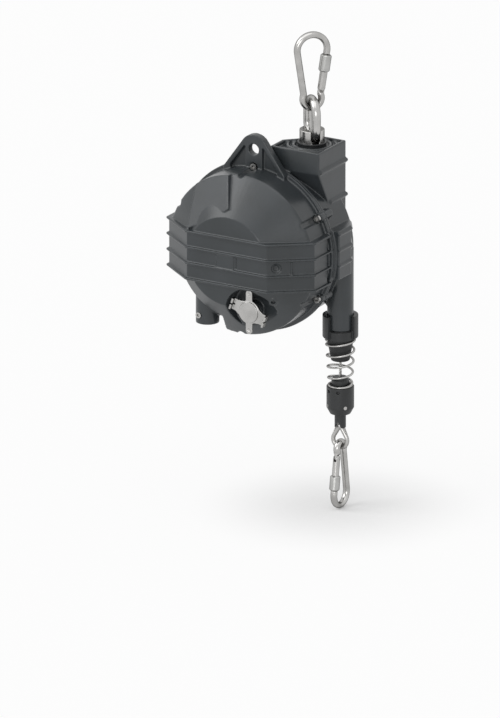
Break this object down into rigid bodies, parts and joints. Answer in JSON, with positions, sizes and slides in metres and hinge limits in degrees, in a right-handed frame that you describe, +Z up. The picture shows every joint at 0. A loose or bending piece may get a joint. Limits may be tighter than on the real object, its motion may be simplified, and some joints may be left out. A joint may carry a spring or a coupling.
{
  "type": "tool balancer",
  "caption": "Spring-driven cable reel in a round ribbed casing, hung from a swivelling snap hook, that carries the weight of a tool on a second snap hook.",
  "frame": {"origin": "bearing point of the suspension hook: the middle of the inner surface of its wide bend, where it hangs on the beam's eye", "axes": "+Z up, against the pull of the load; the drum axis runs along Y with the front cover on the -Y side; the cable leaves on the +X side"},
  "size_m": [0.251, 0.1735, 0.6908],
  "materials": {
    "casing": "semi-gloss",
    "rubber": "matt",
    "black_plastic": "matt",
    "bright_steel": "polished",
    "zinc_steel": "zinc plated",
    "spring_steel": "blued",
    "bronze": "turned",
    "drum_alloy": "cast"
  },
  "bodies": {
    "casing": {"front_cover": "casing", "rear_housing": "casing", "flange_seal": "rubber", "cover_screws": "bright_steel", "worm_bush": "bronze", "adjuster_screw": "bright_steel", "shaft_bushes": "bronze", "lock_bush": "bronze", "swivel_collar": "black_plastic", "swivel_bush": "bronze", "cable_guide": "black_plastic", "nozzle_bumper": "rubber"},
    "arbor": {"arbor_shaft": "zinc_steel", "worm_wheel": "bronze"},
    "adjuster": {"worm": "zinc_steel"},
    "drum": {"spring_case": "drum_alloy", "power_spring": "spring_steel", "cable_drum": "drum_alloy", "drum_bushes": "bronze"},
    "lock_control": {"lock_knob": "bright_steel", "lock_spindle": "zinc_steel"},
    "lock_plunger": {"lock_pin": "zinc_steel"},
    "swivel": {"swivel": "bright_steel", "swivel_washer": "zinc_steel", "swivel_nut": "zinc_steel", "ring_pin": "zinc_steel"},
    "ring": {"eye_ring": "bright_steel"},
    "top_hook": {"suspension_hook": "bright_steel", "suspension_hook_pin": "zinc_steel"},
    "top_gate": {"suspension_hook_gate": "bright_steel"},
    "top_sleeve": {"suspension_hook_sleeve": "zinc_steel"},
    "load_end": {"cable": "bright_steel", "bumper_spring": "bright_steel", "stop_clamp": "black_plastic", "clamp_core": "black_plastic", "clamp_screws": "bright_steel", "ferrule": "black_plastic", "cable_eye": "bright_steel", "thimble": "bright_steel"},
    "lower_hook": {"tool_hook": "bright_steel", "tool_hook_pin": "zinc_steel"},
    "lower_gate": {"tool_hook_gate": "bright_steel"},
    "lower_sleeve": {"tool_hook_sleeve": "zinc_steel"}
  },
  "joints": [
    {"name": "drum_spin", "type": "hinge", "parent": "casing", "child": "drum", "pos_m": [-0.058, -0.048, -0.2973], "axis": [0, 1, 0], "range_deg": [0, 1110], "stiffness_Nm_per_rad": 0.06, "springref_deg": -1145.92},
    {"name": "cable_payout", "type": "slide", "parent": "casing", "child": "load_end", "axis": [0, 0, -1], "range_m": [0, 2.016], "deforming": ["cable"]},
    {"name": "preload_turn", "type": "hinge", "parent": "casing", "child": "arbor", "pos_m": [-0.058, -0.048, -0.2973], "axis": [0, 1, 0], "range_deg": [0, 720]},
    {"name": "adjuster_turn", "type": "hinge", "parent": "casing", "child": "adjuster", "pos_m": [-0.113, -0.094, -0.2973], "axis": [0, 0, 1], "range_deg": [-25920, 0]},
    {"name": "lock_turn", "type": "hinge", "parent": "casing", "child": "lock_control", "pos_m": [-0.026, -0.129, -0.3673], "axis": [0, 1, 0], "range_deg": [0, 90]},
    {"name": "lock_travel", "type": "slide", "parent": "casing", "child": "lock_plunger", "axis": [0, 1, 0], "range_m": [0, 0.0121]},
    {"name": "swivel_turn", "type": "hinge", "parent": "casing", "child": "swivel", "pos_m": [0, 0, -0.1473], "axis": [0, 0, 1], "continuous": true},
    {"name": "ring_swing", "type": "hinge", "parent": "swivel", "child": "ring", "pos_m": [0, 0, -0.1348], "axis": [0.6691, 0.7431, 0], "range_deg": [-20, 20]},
    {"name": "top_hook_swing", "type": "hinge", "parent": "ring", "child": "top_hook", "pos_m": [0, 0, -0.0885], "axis": [0.7431, -0.6691, 0], "range_deg": [-75, 75]},
    {"name": "top_gate_open", "type": "hinge", "parent": "top_hook", "child": "top_gate", "pos_m": [0.00905, 0.01005, -0.07286], "axis": [0.7431, -0.6691, 0], "range_deg": [0, 22], "stiffness_Nm_per_rad": 0.05, "springref_deg": -20.05},
    {"name": "top_sleeve_screw", "type": "slide", "parent": "top_gate", "child": "top_sleeve", "axis": [0.0983, 0.1092, 0.9892], "range_m": [0, 0.0045]},
    {"name": "tool_hook_swing", "type": "hinge", "parent": "load_end", "child": "lower_hook", "pos_m": [0.046, 0, -0.5901], "axis": [1, 0, 0], "range_deg": [-75, 75]},
    {"name": "tool_gate_open", "type": "hinge", "parent": "lower_hook", "child": "lower_gate", "pos_m": [0.046, -0.00953, -0.60329], "axis": [1, 0, 0], "range_deg": [0, 22], "stiffness_Nm_per_rad": 0.04, "springref_deg": -20.05},
    {"name": "tool_sleeve_screw", "type": "slide", "parent": "lower_gate", "child": "lower_sleeve", "axis": [0, -0.1495, -0.9888], "range_m": [0, 0.0045]}
  ],
  "couplings": [
    {"joint": "cable_payout", "follows": "drum_spin", "m_per_rad": 0.104},
    {"joint": "adjuster_turn", "follows": "preload_turn", "ratio": -36},
    {"joint": "lock_travel", "follows": "lock_turn", "m_per_rad": 0.0076394}
  ]
}
